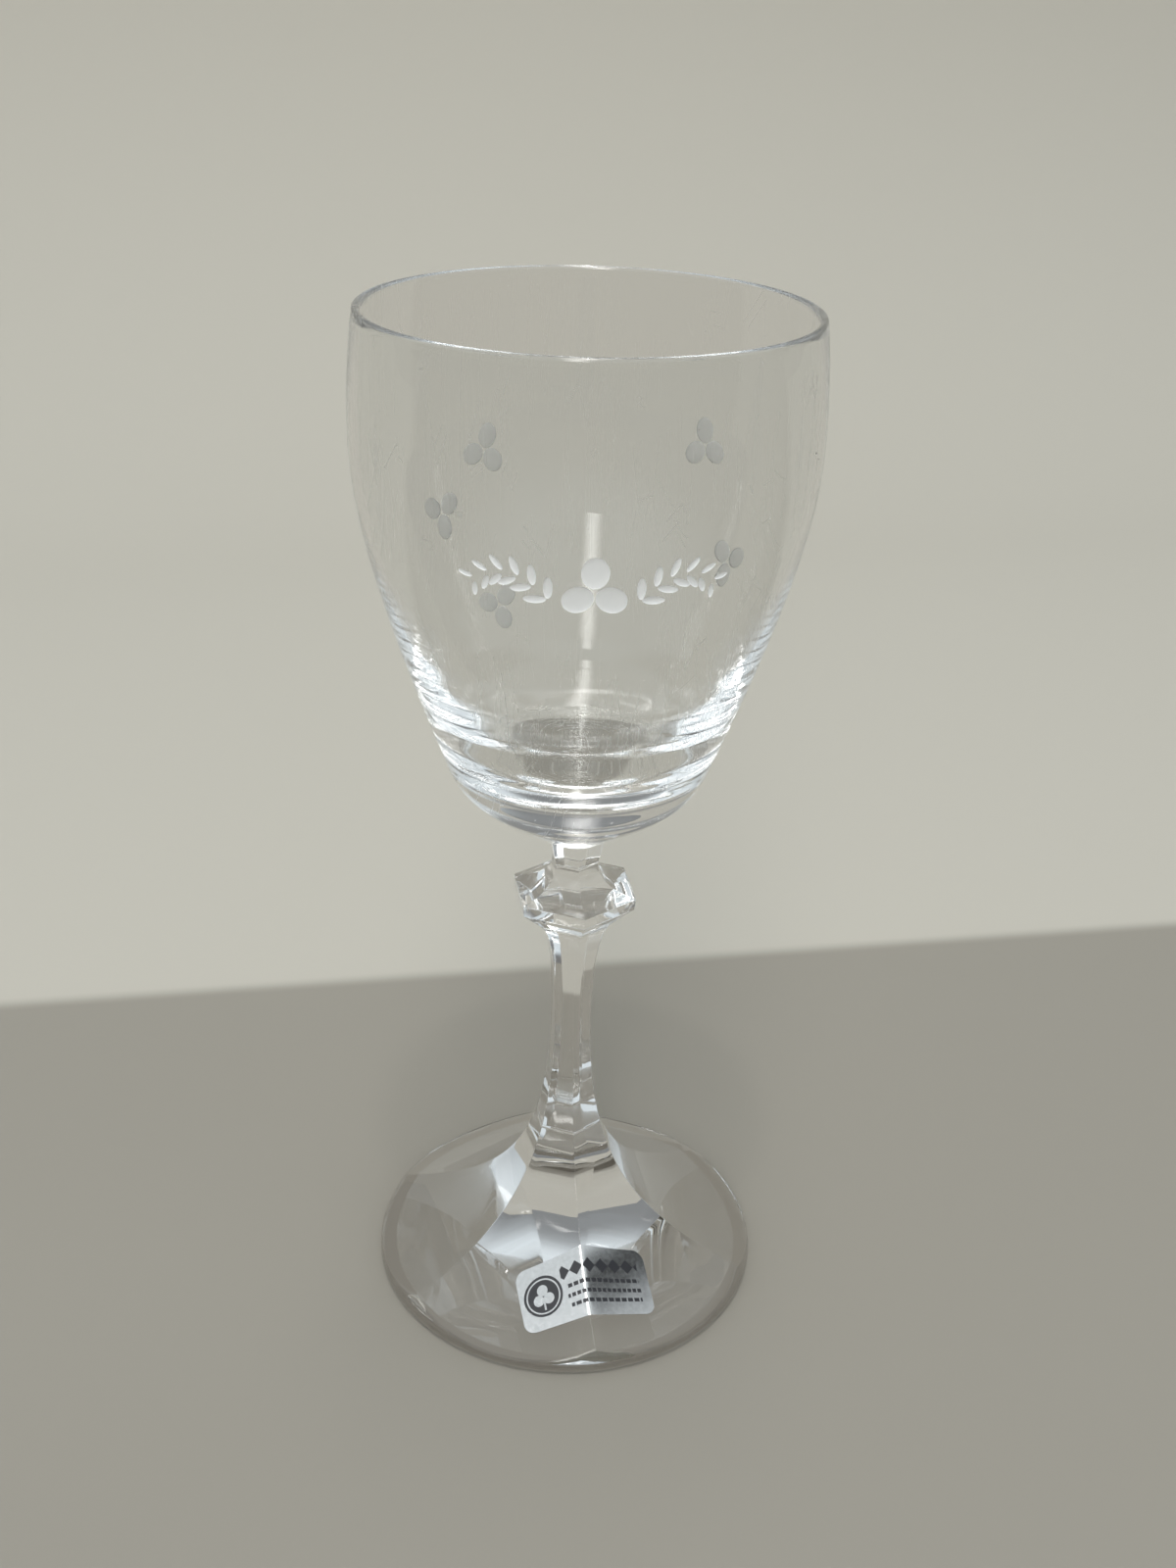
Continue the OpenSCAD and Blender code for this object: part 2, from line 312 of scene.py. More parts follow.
def inkMask(nodes, links, uv, look):
    # a round badge with a clover left bare in it, a row of lozenges and three broken rules
    across = linked(nodes, links, "ShaderNodeMapping", {
        "Vector": uv, "Location": (-labelShape["length"] / 2, -labelShape["width"] / 2, 0),
        "Scale": (labelShape["length"], labelShape["width"], 0)}).outputs[0]
    parts = linked(nodes, links, "ShaderNodeSeparateXYZ", {0: across})
    x, y = parts.outputs["X"], parts.outputs["Y"]

    def block(place, size):
        dx = calc(nodes, links, "ABSOLUTE", calc(nodes, links, "SUBTRACT", x, place[0]))
        dy = calc(nodes, links, "ABSOLUTE", calc(nodes, links, "SUBTRACT", y, place[1]))
        inside = [calc(nodes, links, "LESS_THAN", d, s) for d, s in zip((dx, dy), size)]
        return calc(nodes, links, "MULTIPLY", *inside), dy

    def disc(place, radius):
        gap = linked(nodes, links, "ShaderNodeVectorMath", {
            0: across, 1: (place[0], place[1], 0)}, operation="DISTANCE")
        return calc(nodes, links, "LESS_THAN", gap.outputs["Value"], radius)

    def join(masks, operation):
        whole = masks[0]
        for mask in masks[1:]:
            whole = calc(nodes, links, operation, whole, mask)
        return whole

    badge = look["badge"]
    middle = Vector(badge["place"])
    leaves = [
        disc(middle + toward(angle, look["leafReach"]), look["leafRadius"])
        for angle in look["leafTurns"]
    ]
    clover = join([block(**look["stalk"])[0]] + leaves, "MAXIMUM")
    rest = calc(nodes, links, "SUBTRACT", 1.0, clover)
    outer, inner, centre = [disc(middle, badge[part]) for part in ("radius", "edge", "line")]
    border = calc(nodes, links, "SUBTRACT", outer, inner)
    masks = [border, calc(nodes, links, "MULTIPLY", centre, rest)]
    for rule in look["rules"]:
        mask, dy = block(rule["place"], rule["size"])
        saw = calc(nodes, links, "PINGPONG", x, rule["period"])
        if rule["share"]:
            inside = calc(nodes, links, "GREATER_THAN", saw, rule["share"])
        else:
            inside = calc(nodes, links, "LESS_THAN", dy, calc(
                nodes, links, "MULTIPLY", saw, rule["size"][1] / rule["period"]))
        masks.append(calc(nodes, links, "MULTIPLY", mask, inside))
    return join(masks, "MAXIMUM")


foilLook = {
    "colour": (0.66, 0.66, 0.65, 1),
    "paleColour": (0.80, 0.80, 0.79, 1),
    "grainScale": 1400.0,   # per metre
    "creaseScale": 160.0,   # per metre
    "roughness": (0.10, 0.22),
    "creaseBump": 0.25,
    "creaseDistance": 0.3,
}


def foil(look):
    material, nodes, links, shader = newMaterial("foil")
    place = nodes.new("ShaderNodeTexCoord").outputs["Object"]
    uv = addNode(nodes, "ShaderNodeUVMap", uv_map="label").outputs[0]
    grain = linked(nodes, links, "ShaderNodeTexNoise", {
        "Vector": place, "Scale": look["grainScale"], "Detail": 2.0}).outputs[0]
    crease = linked(nodes, links, "ShaderNodeTexNoise", {
        "Vector": place, "Scale": look["creaseScale"], "Detail": 1.0}).outputs[0]
    ink = inkMask(nodes, links, uv, printLook)
    silver = linked(nodes, links, "ShaderNodeMix", {
        0: grain, 6: look["colour"], 7: look["paleColour"]}, data_type="RGBA")
    printed = linked(nodes, links, "ShaderNodeMix", {
        0: ink, 6: silver.outputs[2], 7: printLook["ink"]}, data_type="RGBA")
    links.new(printed.outputs[2], shader.inputs["Base Color"])
    bare = linked(nodes, links, "ShaderNodeMapRange", {
        "Value": grain, "To Min": look["roughness"][0], "To Max": look["roughness"][1]}).outputs[0]
    rough = linked(nodes, links, "ShaderNodeMix", {0: ink, 2: bare, 3: printLook["inkRoughness"]})
    links.new(rough.outputs[0], shader.inputs["Roughness"])
    links.new(calc(nodes, links, "SUBTRACT", 1.0, ink), shader.inputs["Metallic"])
    bump = linked(nodes, links, "ShaderNodeBump", {
        "Height": crease, "Strength": look["creaseBump"], "Distance": look["creaseDistance"] * mm})
    links.new(bump.outputs[0], shader.inputs["Normal"])
    return material


glueLook = {
    "colour": (0.66, 0.62, 0.52, 1),
    "paleColour": (0.80, 0.78, 0.70, 1),
    "blotchScale": 700.0,   # per metre
    "roughness": (0.45, 0.75),
}


def glue(look):
    material, nodes, links, shader = newMaterial("glue")
    place = nodes.new("ShaderNodeTexCoord").outputs["Object"]
    blotch = linked(nodes, links, "ShaderNodeTexNoise", {
        "Vector": place, "Scale": look["blotchScale"]}).outputs[0]
    colour = linked(nodes, links, "ShaderNodeMix", {
        0: blotch, 6: look["colour"], 7: look["paleColour"]}, data_type="RGBA")
    links.new(colour.outputs[2], shader.inputs["Base Color"])
    rough = linked(nodes, links, "ShaderNodeMapRange", {
        "Value": blotch, "To Min": look["roughness"][0], "To Max": look["roughness"][1]})
    links.new(rough.outputs[0], shader.inputs["Roughness"])
    return material


bowlGlass = clearGlass("bowlGlass", glassLook["bowl"])
stemGlass = clearGlass("stemGlass", glassLook["stem"])
frontFrost = frostedGlass("frontFrost", frostLook, frostLook["front"])
backFrost = frostedGlass("backFrost", frostLook, frostLook["back"])
joint = fusedJoint()
foilSheet = foil(foilLook)
glueFilm = glue(glueLook)
print("materials made")


# Meshes. A piece's own glass is in its first material slot
jointSlot, frontFrostSlot, backFrostSlot = 1, 2, 3
cornerShare = 0.45    # a rounded corner takes no more than this share of the lines beside it


def bezierLine(a, b, c, d, steps):
    corners = [corner.to_3d() for corner in (a, b, c, d)]
    return [Vector((p.x, p.y)) for p in interpolate_bezier(*corners, steps + 1)]


def arcLine(centre, radius, start, end, steps):
    return [centre + toward(start + (end - start) * i / steps, radius) for i in range(steps + 1)]


def softLine(points, soft, steps=3):
    # rounds the corners of a line of points over a short length on each side
    line = [points[0]]
    for before, here, after in zip(points, points[1:], points[2:]):
        start, end = [
            here + (other - here).normalized() * min(soft, (other - here).length * cornerShare)
            for other in (before, after)
        ]
        for i in range(steps + 1):
            t = i / steps
            line.append(start.lerp(here, t).lerp(here.lerp(end, t), t))
    return line + [points[-1]]


def finishPiece(name, bm, materials, nodes):
    for face in bm.faces:
        face.smooth = face.material_index != jointSlot
    mesh = bpy.data.meshes.new(name)
    bm.to_mesh(mesh)
    bm.free()
    for material in materials:
        mesh.materials.append(material)
    piece = bpy.data.objects.new(name, mesh)
    bpy.context.scene.collection.objects.link(piece)
    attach(piece, "root")
    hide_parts(*nodes)
    print("made", name, "with", len(mesh.polygons), "faces")
    return piece


def startRing(bm, places):
    verts = [bm.verts.new(place) for place in places]
    for a, b in zip(verts, verts[1:] + verts[:1]):
        bm.edges.new((a, b))
    return verts


def growRing(bm, ring, places):
    # extrudes a closed ring of vertices, and puts the new ring at the places given
    pairs = zip(ring, ring[1:] + ring[:1])
    edges = [bm.edges.get(pair) for pair in pairs]
    grown = bmesh.ops.extrude_edge_only(bm, edges=edges)["geom"]
    fresh = {v for v in grown if isinstance(v, bmesh.types.BMVert)}
    nextRing = []
    for vert, place in zip(ring, places):
        new = next(e.other_vert(vert) for e in vert.link_edges if e.other_vert(vert) in fresh)
        new.co = place
        nextRing.append(new)
    return nextRing


def closeRing(bm, ring):
    return bmesh.ops.contextual_create(bm, geom=ring)["faces"][0]


# Six-sided section of the pressed glass, with slightly rounded ridges
sectionShape = {
    "sides": 6,
    "ridgeRound": 0.2,
    "roundShare": 0.25,    # the rounding is no more than this share of the ridge's radius
    "flatSteps": 10,
    "roundSteps": 4,
    "firstRidge": -90.0,   # so the front ridge is on -Y
}


def sectionPlaces(ridgeRadius, z):
    shape = sectionShape
    sides = shape["sides"]
    half = 180 / sides
    angle = math.radians(half)
    roundness = min(shape["ridgeRound"] * mm, ridgeRadius * shape["roundShare"])
    apothem = ridgeRadius * math.cos(angle)
    flat = ridgeRadius * math.sin(angle) - roundness * math.tan(angle)
    places = []
    for side in range(sides):
        turn = shape["firstRidge"] + half + side * 2 * half
        out, along = toward(turn, 1), toward(turn + 90, 1)
        for i in range(shape["flatSteps"] + 1):
            u = 2 * i / shape["flatSteps"] - 1
            places.append(out * apothem + along * flat * u)
        centre = toward(turn + half, ridgeRadius - roundness / math.cos(angle))
        for i in range(1, shape["roundSteps"]):
            places.append(centre + toward(turn + 2 * half * i / shape["roundSteps"], roundness))
    return [Vector((p.x, p.y, z)) for p in places]


def pressedPiece(name, ridge, node):
    bm = bmesh.new()
    first = ring = startRing(bm, sectionPlaces(ridge[0].x, ridge[0].y))
    for point in ridge[1:]:
        ring = growRing(bm, ring, sectionPlaces(point.x, point.y))
    for end in (first, ring):
        closeRing(bm, end).material_index = jointSlot
    bmesh.ops.recalc_face_normals(bm, faces=bm.faces)
    finishPiece(name, bm, [stemGlass, joint], [node])


# Stem
stemShape = {
    "footRadius": 6.35,
    "footLean": 15.4,
    "footPull": 6.4,
    "waistHeight": 24.1,
    "waistRadius": 3.8,
    "waistLowPull": 10.1,
    "waistHighPull": 6.0,
    "topRadius": 7.2,
    "topPull": 3.6,
    "topLean": 50.0,
    "steps": 40,
}


def stemRidge():
    shape = stemShape
    low = Vector((shape["footRadius"] * mm, stemLow.z))
    waist = Vector((shape["waistRadius"] * mm, stemLow.z + shape["waistHeight"] * mm))
    top = Vector((shape["topRadius"] * mm, stemHigh.z))
    lower = bezierLine(
        low, low - toward(shape["footLean"] - 90, shape["footPull"] * mm),
        waist - Vector((0, shape["waistLowPull"] * mm)), waist, shape["steps"],
    )
    upper = bezierLine(
        waist, waist + Vector((0, shape["waistHighPull"] * mm)),
        top - toward(90 - shape["topLean"], shape["topPull"] * mm), top, shape["steps"],
    )
    return lower + upper[1:]


# Knop
knopShape = {
    "radius": 11.4,
    "underHeight": 3.6,
    "underStops": (0.1, 0.9),    # shares of the underside at which it has a ring
    "bandHeight": 2.1,
    "bandInset": 0.25,
    "cornerPull": 4.2,
    "neckPull": 3.4,
    "rise": 8.0,
    "edgeSoftness": 0.15,
    "steps": 30,
}

# Neck
neckShape = {"creaseRadius": 4.25, "topRadius": 5.3, "steps": 12}


def knopRidge():
    shape = knopShape
    low = Vector((stemShape["topRadius"] * mm, knopLow.z))
    bandRadius = (shape["radius"] - shape["bandInset"]) * mm
    bandLow = Vector((bandRadius, knopLow.z + shape["underHeight"] * mm))
    corner = Vector((shape["radius"] * mm, bandLow.y + shape["bandHeight"] * mm))
    crease = Vector((neckShape["creaseRadius"] * mm, knopHigh.z))
    hollow = bezierLine(
        corner, corner + toward(180 - shape["rise"], shape["cornerPull"] * mm),
        crease - Vector((0, shape["neckPull"] * mm)), crease, shape["steps"],
    )
    start = [low] + [low.lerp(bandLow, share) for share in shape["underStops"]]
    band = softLine([start[-1], bandLow, corner, hollow[1]], shape["edgeSoftness"] * mm)
    return start[:-1] + band[:-1] + hollow[2:]


def neckRidge():
    shape = neckShape
    low = Vector((shape["creaseRadius"] * mm, neckLow.z))
    top = Vector((shape["topRadius"] * mm, neckHigh.z))
    return [low.lerp(top, i / shape["steps"]) for i in range(shape["steps"] + 1)]


pressedPiece("stemGlass", stemRidge(), "stem")
pressedPiece("knopGlass", knopRidge(), "knop")
pressedPiece("neckGlass", neckRidge(), "neck")

# Foot
footShape = {
    "edgeHeight": 2.3,
    "slope": 17.3,
    "edgePull": 19.4,
    "stemPull": 17.9,
    "sideRadius": 5.0,
    "lipRadius": 1.2,
    "ringWidth": 2.4,
    "domeHeight": 1.0,
    "edgeRound": 0.45,
    "edgeShares": (0.6, 0.9),    # most of the side's height, and of the flare's end, that it takes
    "edgeSteps": 6,
    "flareEnd": 0.97,      # share of the flare's length at which the rounding of its edge may start
    "overrun": 1.0,        # length of the ridge line past the edge
    "lineSteps": 400,
    "halvings": 40,        # of the search for the place where a column meets the side
    "flareSteps": 96,
    "sideSteps": 6,
    "lipSteps": 5,
    "domeSteps": 11,
}


def flareRidge():
    shape = footShape
    half = math.radians(180 / sectionShape["sides"])
    top = Vector((stemShape["footRadius"] * mm, footHigh.z))
    edge = Vector((footHigh.x / math.cos(half), shape["edgeHeight"] * mm))
    line = bezierLine(
        top, top + toward(stemShape["footLean"] - 90, shape["stemPull"] * mm),
        edge - toward(-shape["slope"], shape["edgePull"] * mm), edge, shape["lineSteps"],
    )
    return line + [edge + toward(-shape["slope"], shape["overrun"] * mm)]


def ridgePoint(line, t):
    # a place along a line of points, t from 0 to 1
    step = min(int(t * (len(line) - 1)), len(line) - 2)
    return line[step].lerp(line[step + 1], t * (len(line) - 1) - step)


def sideRadius(z):
    # radius of the foot's rounded side at a height
    shape = footShape
    lift = max(z - shape["lipRadius"] * mm, 0)
    bend = shape["sideRadius"] * mm
    return footHigh.x - bend + math.sqrt(max(bend * bend - lift * lift, 0))


def columnEnd(ridge, column):
    # how far along the ridge line a column of the flare reaches before it meets the foot's side
    low, high = 0.0, 1.0
    for _ in range(footShape["halvings"]):
        t = (low + high) / 2
        point = ridgePoint(ridge, t)
        place = sectionPlaces(point.x, point.y)[column]
        if math.hypot(place.x, place.y) < sideRadius(place.z):
            low = t
        else:
            high = t
    return low


def footPiece():
    shape = footShape
    ridge = flareRidge()
    columns = len(sectionPlaces(ridge[0].x, ridge[0].y))
    perSide = columns // sectionShape["sides"]
    sideEnds = [columnEnd(ridge, column) for column in range(perSide)]
    ends = [sideEnds[column % perSide] for column in range(columns)]
    bm = bmesh.new()
    first = ring = startRing(bm, sectionPlaces(ridge[0].x, ridge[0].y))
    for step in range(1, shape["flareSteps"] + 1):
        share = shape["flareEnd"] * step / shape["flareSteps"]
        sections = {}
        places = []
        for column in range(columns):
            t = ends[column] * share
            if t not in sections:
                point = ridgePoint(ridge, t)
                sections[t] = sectionPlaces(point.x, point.y)
            places.append(sections[t][column])
        ring = growRing(bm, ring, places)
    lip = shape["lipRadius"] * mm
    edge = [ridgePoint(ridge, end) for end in ends]
    rim = [sectionPlaces(point.x, point.y)[column] for column, point in enumerate(edge)]

    def sidePlace(place, z):
        outward = Vector((place.x, place.y)).normalized() * sideRadius(z)
        return Vector((outward.x, outward.y, z))

    # the corner between the flare and the side is rounded over a short length each way
    sideShare, flareShare = shape["edgeShares"]
    softs = [
        min(shape["edgeRound"] * mm, (p.z - lip) * sideShare, (p - q).length * flareShare)
        for p, q in zip(rim, places)
    ]
    starts = [p.lerp(q, soft / (p - q).length) for p, q, soft in zip(rim, places, softs)]
    stops = [sidePlace(p, p.z - soft) for p, soft in zip(rim, softs)]
    for step in range(shape["edgeSteps"] + 1):
        t = step / shape["edgeSteps"]
        corners = zip(starts, rim, stops)
        ring = growRing(bm, ring, [a.lerp(b, t).lerp(b.lerp(c, t), t) for a, b, c in corners])
    for step in range(1, shape["sideSteps"] + 1):
        places = [sidePlace(p, p.z + (lip - p.z) * step / shape["sideSteps"]) for p in stops]
        ring = growRing(bm, ring, places)
    under = arcLine(Vector((footHigh.x - lip, lip)), lip, 0, -90, shape["lipSteps"])[1:]
    domeRadius = footHigh.x - lip - shape["ringWidth"] * mm
    for i in range(shape["domeSteps"]):
        x = domeRadius * (1 - i / shape["domeSteps"])
        under.append(Vector((x, shape["domeHeight"] * mm * (1 - (x / domeRadius) ** 2))))
    for point in under:
        outward = [Vector((p.x, p.y)).normalized() * point.x for p in rim]
        ring = growRing(bm, ring, [Vector((p.x, p.y, point.y)) for p in outward])
    bmesh.ops.poke(bm, faces=[closeRing(bm, ring)])
    closeRing(bm, first).material_index = jointSlot
    bmesh.ops.recalc_face_normals(bm, faces=bm.faces)
    finishPiece("footGlass", bm, [stemGlass, joint], ["foot"])


footPiece()


# Label and its adhesive, laid over the front ridge of the flare
def flareHeight(ridge, place, softness):
    # height of the flare under a place in plan, with the fold over the front ridge a little rounded
    half = 180 / sectionShape["sides"]
    front = sectionShape["firstRidge"]
    right, left = [place.dot(toward(front + turn, 1)) for turn in (half, -half)]
    reach = (right + left + math.sqrt((right - left) ** 2 + softness ** 2)) / 2
    reach /= math.cos(math.radians(half))
    low, high = 0, len(ridge) - 1
    while high - low > 1:
        middle = (low + high) // 2
        if ridge[middle].x < reach:
            low = middle
        else:
            high = middle
    share = (reach - ridge[low].x) / (ridge[high].x - ridge[low].x)
    return ridge[low].y + (ridge[high].y - ridge[low].y) * share


def labelLayer(name, low, high, inset, material, node):
    shape = labelShape
    ridge = flareRidge()
    half = Vector((shape["length"] / 2 - inset, shape["width"] / 2 - inset)) * mm
    corner = (shape["cornerRadius"] - inset) * mm
    turn = Matrix.Rotation(math.radians(shape["turn"]), 2)
    bm = bmesh.new()
    bmesh.ops.create_grid(
        bm, x_segments=shape["stepsAlong"], y_segments=shape["stepsAcross"], size=1)
    uvLayer = bm.loops.layers.uv.new("label")
    for face in bm.faces:
        for loop in face.loops:
            loop[uvLayer].uv = ((loop.vert.co.x + 1) / 2, (loop.vert.co.y + 1) / 2)
    for vert in bm.verts:
        place = Vector((vert.co.x * half.x, vert.co.y * half.y))
        inX, inY = abs(place.x) - half.x + corner, abs(place.y) - half.y + corner
        if inX > 0 and inY > 0:
            # the square corner is drawn in to a quarter circle
            s, t = inX / corner, inY / corner
            x = half.x - corner + corner * s * math.sqrt(1 - t * t / 2)
            y = half.y - corner + corner * t * math.sqrt(1 - s * s / 2)
            place.x, place.y = math.copysign(x, place.x), math.copysign(y, place.y)
        place = turn @ place + Vector((0, -footHigh.x + shape["fromEdge"] * mm))
        height = flareHeight(ridge, place, shape["foldSoftness"] * mm) + low * mm
        vert.co = (place.x, place.y, height)
    faces = bm.faces[:]
    grown = bmesh.ops.extrude_face_region(bm, geom=faces, use_keep_orig=True)["geom"]
    lifted = [v for v in grown if isinstance(v, bmesh.types.BMVert)]
    bmesh.ops.translate(bm, vec=(0, 0, (high - low) * mm), verts=lifted)
    bmesh.ops.recalc_face_normals(bm, faces=bm.faces)
    piece = finishPiece(name, bm, [material], [node])
    piece.data.set_sharp_from_angle(angle=math.radians(shape["sharpAngle"]))


glueTop = labelShape["glueThickness"]
foilTop = glueTop + labelShape["foilThickness"]
labelLayer("labelFoil", glueTop, foilTop, 0, foilSheet, "foil_label")
glueInset = labelShape["glueInset"]
labelLayer("labelGlue", 0, glueTop, glueInset, glueFilm, "label_adhesive")

# Bowl
bowlShape = {
    "baseSlope": 35.0,
    "basePull": 14.4,
    "shoulderHeight": 15.2,
    "shoulderRadius": 22.2,
    "shoulderSlope": 69.6,
    "shoulderLowPull": 6.9,
    "shoulderPull": 30.0,
    "bellyPull": 12.2,
    "bellyDrop": 18.4,
    "rimRadius": 35.2,
    "rimThickness": 1.2,
    "wallThickness": 1.4,
    "sideThickness": 3.5,
    "sideShare": 0.125,     # share of the wall's curve at which the cavity turns in to its floor
    "sideHalf": 0.095,      # share over which the extra thickness there falls by half
    "floorThickness": 13.7,
    "floorRadius": 9.0,
    "floorPull": 9.0,
    "sidePull": 6.0,
    "ringRadius": 10.2,     # a faint raised ring round the floor of the cavity
    "ringWidth": 1.1,
    "ringHeight": 0.12,
    "rippleDepth": 0.08,    # the blown inside has slow rings, strongest near the base
    "rippleLength": 6.2,
    "rippleReach": 30.0,
    "floorStops": (0.75, 0.5, 0.25, 0),    # shares of the floor's radius
    "weld": 0.001,
    "turns": 192,
    "baseSteps": 40,
    "wallSteps": 64,
    "shortSteps": 16,
    "lipSteps": 8,
}


def bowlShoulder():
    return Vector((bowlShape["shoulderRadius"] * mm, bowlLow.z + bowlShape["shoulderHeight"] * mm))


def wallLine():
    # outside of the wall, from the shoulder up to the belly
    shape = bowlShape
    shoulder = bowlShoulder()
    belly = Vector((bowlHigh.x, bowlHigh.z - shape["bellyDrop"] * mm))
    return bezierLine(
        shoulder, shoulder + toward(shape["shoulderSlope"], shape["shoulderPull"] * mm),
        belly - Vector((0, shape["bellyPull"] * mm)), belly, shape["wallSteps"],
    )


def upperWall(belly, rim, low, high):
    # the wall above the belly, drawn in from one radius to another
    steps = bowlShape["shortSteps"]
    return [
        Vector((belly - (belly - rim) * (i / steps) ** 2, low + (high - low) * i / steps))
        for i in range(1, steps + 1)
    ]


def lipHeight():
    return bowlHigh.z - bowlShape["rimThickness"] * mm / 2


def bowlOutside():
    shape = bowlShape
    start = Vector((neckShape["topRadius"] * mm, bowlLow.z))
    shoulder = bowlShoulder()
    underside = bezierLine(
        start, start + toward(shape["baseSlope"], shape["basePull"] * mm),
        shoulder - toward(shape["shoulderSlope"], shape["shoulderLowPull"] * mm), shoulder,
        shape["baseSteps"],
    )
    wall = wallLine()
    upper = upperWall(wall[-1].x, shape["rimRadius"] * mm, wall[-1].y, lipHeight())
    return underside + wall[1:] + upper


def bowlInside():
    shape = bowlShape
    bellyZ = bowlHigh.z - shape["bellyDrop"] * mm
    belly = bowlHigh.x - shape["wallThickness"] * mm
    rim = (shape["rimRadius"] - shape["rimThickness"]) * mm
    upper = upperWall(belly, rim, bellyZ, lipHeight())[::-1]
    wall = []
    line = wallLine()
    steps = shape["wallSteps"]
    extra = shape["sideThickness"] - shape["wallThickness"]
    for step in range(steps, round(shape["sideShare"] * steps) - 1, -1):
        along = (line[min(step + 1, steps)] - line[step - 1]).normalized()
        halvings = (step / steps - shape["sideShare"]) / shape["sideHalf"]
        thickness = shape["wallThickness"] + extra * 0.5 ** halvings
        wall.append(line[step] + Vector((-along.y, along.x)) * thickness * mm)
    side = wall[-1]
    floorZ = bowlLow.z + shape["floorThickness"] * mm
    floorEdge = Vector((shape["floorRadius"] * mm, floorZ))
    turnIn = bezierLine(
        side, side - along * shape["sidePull"] * mm,
        floorEdge + Vector((shape["floorPull"] * mm, 0)), floorEdge, shape["baseSteps"],
    )
    inside = [rippled(point, floorZ) for point in wall + turnIn[1:]]
    floorLine = [Vector((floorEdge.x * share, floorZ)) for share in shape["floorStops"]]
    return upper + inside + floorLine


def rippled(point, floorZ):
    # moves a point of the cavity's line with the slow rings of the wall and the ring on the floor
    shape = bowlShape
    lift = (point.y - floorZ) / mm
    fade = max(0, 1 - lift / shape["rippleReach"]) * min(1, lift / shape["rippleLength"])
    wave = math.sin(math.tau * lift / shape["rippleLength"]) * shape["rippleDepth"] * fade
    across = min(1, abs(point.x / mm - shape["ringRadius"]) / shape["ringWidth"])
    ring = shape["ringHeight"] * (1 - across * across) ** 2
    return point + Vector((wave, ring)) * mm


def bowlPiece():
    shape = bowlShape
    outside = bowlOutside()
    lipCentre = Vector(((shape["rimRadius"] - shape["rimThickness"] / 2) * mm, outside[-1].y))
    lip = arcLine(lipCentre, shape["rimThickness"] * mm / 2, 0, 180, shape["lipSteps"])[1:-1]
    profile = outside + lip + bowlInside()
    bm = bmesh.new()
    verts = [bm.verts.new((p.x, 0, p.y)) for p in profile]
    edges = [bm.edges.new(pair) for pair in zip(verts, verts[1:])]
    bmesh.ops.spin(
        bm, geom=verts + edges, cent=(0, 0, 0), axis=(0, 0, 1), angle=math.tau,
        steps=shape["turns"], use_merge=True,
    )
    bmesh.ops.remove_doubles(bm, verts=bm.verts, dist=shape["weld"] * mm)
    openEdges = [e for e in bm.edges if e.is_boundary]
    closeRing(bm, openEdges).material_index = jointSlot
    bmesh.ops.recalc_face_normals(bm, faces=bm.faces)
    materials = [bowlGlass, joint, frontFrost, backFrost]
    return finishPiece("bowlGlass", bm, materials, ["bowl"])


# Frosted engraving: scattered clovers on the back, and a leaf ornament on the front.
# A clover's place is its turn round the axis from the front ridge, its height as a share of the
# bowl's height, and the turn of its leaves
engraving = {
    "depth": 0.22,
    "leafRings": 10,
    "leafSides": 28,
    "clover": {"length": 4.3, "width": 3.55, "reach": 2.35},
    "backClovers": [
        (-159, 0.655, 110), (-141, 0.555, 150), (134, 0.68, 80),
        (116, 0.485, 150), (-157, 0.36, 20),
    ],
    "frontTurn": -7.2,
    "frontHeight": 0.64,    # share of the bowl's height
    "frontClover": {"length": 5.0, "width": 4.2, "reach": 2.75, "turn": 90},
    "spray": {
        "leaves": 6,          # pairs of leaves on each side
        "start": 6.6,         # from the middle
        "step": 2.1,
        "arch": 5.6,          # rise of the spray's curve, which is part of a sine
        "archStart": 0.12,    # half turns
        "archSpan": 0.62,
        "drop": -3.6,
        "shrink": 0.35,       # share that the last leaf is smaller
        "length": 3.5,
        "width": 1.35,
        "spread": 48.0,
        "offset": 1.35,       # of a leaf's middle from the curve
        "offsetShare": 0.12,  # and this share of a leaf's length more
    },
}


def wallPlace(line, height):
    # radius of the wall's outside at a height, and its direction there
    for below, above in zip(line, line[1:]):
        if above.y >= height:
            share = (height - below.y) / (above.y - below.y)
            return below.lerp(above, share).x, (above - below).normalized()


def addLeaf(bm, line, turn, height, along, length, width):
    # a flat ellipsoid laid in the wall, its long side turned by the angle along
    radius, way = wallPlace(line, height)
    angle = math.radians(turn)
    outward = Vector((math.sin(angle), -math.cos(angle), 0))
    across = Vector((math.cos(angle), math.sin(angle), 0))
    up = outward * way.x + Vector((0, 0, way.y))
    normal = across.cross(up)
    frameOf = Matrix((across, up, normal)).transposed().to_4x4()
    size = Matrix.Diagonal((length * mm / 2, width * mm / 2, engraving["depth"] * mm, 1))
    place = Matrix.Translation(outward * radius + Vector((0, 0, height)))
    bmesh.ops.create_uvsphere(
        bm, u_segments=engraving["leafSides"], v_segments=engraving["leafRings"], radius=1,
        matrix=place @ frameOf @ Matrix.Rotation(math.radians(along), 4, "Z") @ size,
    )


def addLeafAt(bm, line, turn, height, offset, along, length, width):
    # the offset is measured on the wall, across and up
    radius = wallPlace(line, height + offset[1] * mm)[0]
    addLeaf(
        bm, line, turn + math.degrees(offset[0] * mm / radius), height + offset[1] * mm,
        along, length, width,
    )


def addClover(bm, line, turn, height, leafTurn, look):
    for step in range(3):
        angle = leafTurn + step * 120
        offset = toward(angle, look["reach"])
        addLeafAt(bm, line, turn, height, offset, angle, look["length"], look["width"])


